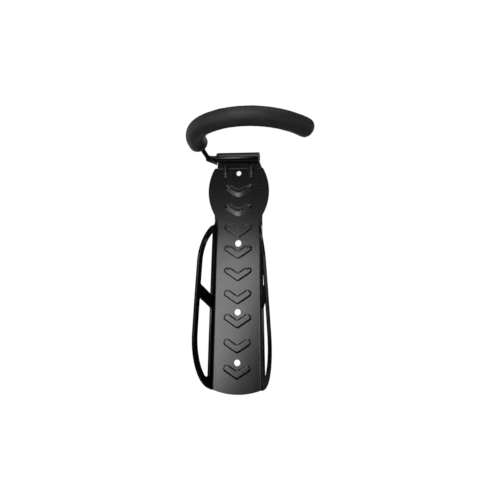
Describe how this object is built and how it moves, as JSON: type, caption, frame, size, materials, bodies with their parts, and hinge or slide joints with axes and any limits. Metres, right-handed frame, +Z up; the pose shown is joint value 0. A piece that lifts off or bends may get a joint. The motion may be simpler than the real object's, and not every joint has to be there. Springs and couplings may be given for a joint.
{
  "type": "bicycle wall rack",
  "caption": "Wall-fixed steel rack: pressed back plate with flared side guards and a foam-covered hook that folds up on a hinge tube.",
  "frame": {"origin": "on the back of the plate, where it lies on the wall, on the plate's centre line between the fifth and sixth chevrons", "axes": "+X to the right seen from the room, +Y into the wall, +Z up"},
  "size_m": [0.1644, 0.1266, 0.3471],
  "materials": {
    "steel_paint": "satin black powder coat",
    "weld_paint": "weld bead under black powder coat",
    "nylon": "black nylon",
    "zinc": "zinc plated spring steel",
    "foam_rubber": "matt black closed-cell foam"
  },
  "bodies": {
    "bracket": {"back_plate": "steel_paint", "hinge_tube": "steel_paint", "tube_weld_front": "weld_paint", "tube_weld_rear": "weld_paint", "hinge_bush_left": "nylon", "hinge_bush_right": "nylon", "tube_end_plug": "nylon"},
    "hook": {"hook_rod": "steel_paint", "stop_lug": "steel_paint", "lug_weld": "weld_paint", "push_on_retainer": "zinc", "rod_end_cap": "nylon", "foam_grip": "foam_rubber"}
  },
  "joints": [
    {"name": "hook_fold", "type": "hinge", "parent": "bracket", "child": "hook", "pos_m": [0, -0.013, 0.167], "axis": [-1, 0, 0], "range_deg": [0, 75]}
  ]
}
